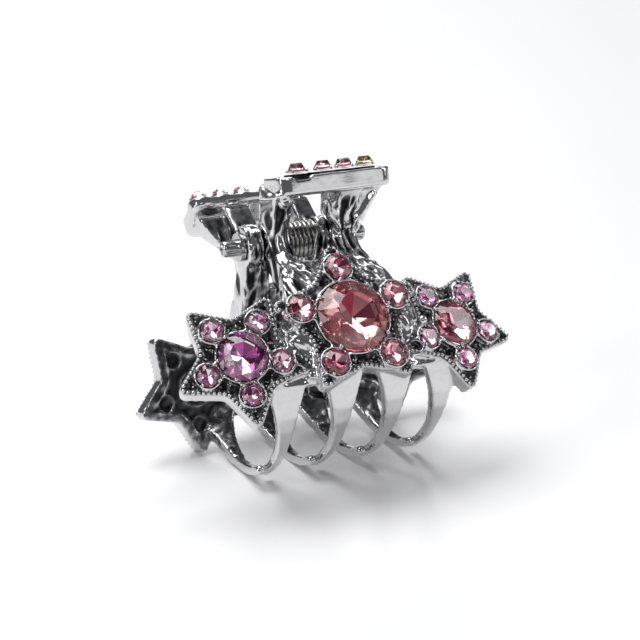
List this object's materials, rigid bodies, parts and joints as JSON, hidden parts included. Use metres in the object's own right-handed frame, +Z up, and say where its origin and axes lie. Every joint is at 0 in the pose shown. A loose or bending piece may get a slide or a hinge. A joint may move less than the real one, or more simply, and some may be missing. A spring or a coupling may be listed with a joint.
{
  "type": "hair claw clip",
  "caption": "Small cast-metal hair claw: two sprung star-shaped jaws with curved teeth and finger pads, set with faceted crystals.",
  "frame": {"origin": "centre of the bounding box's bottom face, on the surface that the clip lies on", "axes": "+Z up from that surface, +X along the hinge pin (the clip's length), -Y towards the front jaw's stars; the clip lies rolled back 29.3 degrees on its rear jaw"},
  "size_m": [0.0388, 0.0298, 0.0326],
  "materials": {
    "antique_silver": "polished zinc casting with blackened recesses",
    "steel": "bright steel",
    "spring_steel": "plated spring wire",
    "peach_rose_crystal": "foil-backed cut crystal",
    "rose_crystal": "foil-backed cut crystal",
    "light_pink_crystal": "foil-backed cut crystal",
    "orchid_crystal": "foil-backed cut crystal",
    "amber_crystal": "foil-backed cut crystal"
  },
  "bodies": {
    "rear_half": {"hinge_pin": "steel", "pin_washer_left": "steel", "pin_washer_right": "steel", "rear_centre_accent_1": "rose_crystal", "rear_centre_accent_2": "rose_crystal", "rear_centre_accent_3": "rose_crystal", "rear_centre_accent_4": "rose_crystal", "rear_centre_accent_5": "rose_crystal", "rear_centre_stone": "peach_rose_crystal", "rear_jaw": "antique_silver", "rear_left_accent_1": "light_pink_crystal", "rear_left_accent_2": "light_pink_crystal", "rear_left_accent_3": "light_pink_crystal", "rear_left_accent_4": "light_pink_crystal", "rear_left_accent_5": "light_pink_crystal", "rear_left_stone": "orchid_crystal", "rear_pad_stone_1": "light_pink_crystal", "rear_pad_stone_2": "light_pink_crystal", "rear_pad_stone_3": "orchid_crystal", "rear_pad_stone_4": "rose_crystal", "rear_right_accent_1": "light_pink_crystal", "rear_right_accent_2": "light_pink_crystal", "rear_right_accent_3": "light_pink_crystal", "rear_right_accent_4": "light_pink_crystal", "rear_right_accent_5": "light_pink_crystal", "rear_right_stone": "rose_crystal", "torsion_spring": "spring_steel"},
    "front_half": {"front_centre_accent_1": "rose_crystal", "front_centre_accent_2": "rose_crystal", "front_centre_accent_3": "rose_crystal", "front_centre_accent_4": "rose_crystal", "front_centre_accent_5": "rose_crystal", "front_centre_stone": "peach_rose_crystal", "front_jaw": "antique_silver", "front_left_accent_1": "light_pink_crystal", "front_left_accent_2": "light_pink_crystal", "front_left_accent_3": "light_pink_crystal", "front_left_accent_4": "light_pink_crystal", "front_left_accent_5": "light_pink_crystal", "front_left_stone": "orchid_crystal", "front_pad_stone_1": "rose_crystal", "front_pad_stone_2": "rose_crystal", "front_pad_stone_3": "rose_crystal", "front_pad_stone_4": "amber_crystal", "front_right_accent_1": "light_pink_crystal", "front_right_accent_2": "light_pink_crystal", "front_right_accent_3": "light_pink_crystal", "front_right_accent_4": "light_pink_crystal", "front_right_accent_5": "light_pink_crystal", "front_right_stone": "rose_crystal"}
  },
  "joints": [
    {"name": "jaw_hinge", "type": "hinge", "parent": "rear_half", "child": "front_half", "pos_m": [0, 0.00491, 0.02345], "axis": [-1, 0, 0], "range_deg": [0, 36], "stiffness_Nm_per_rad": 0.02, "springref_deg": -28.65, "deforming": ["torsion_spring"]}
  ]
}
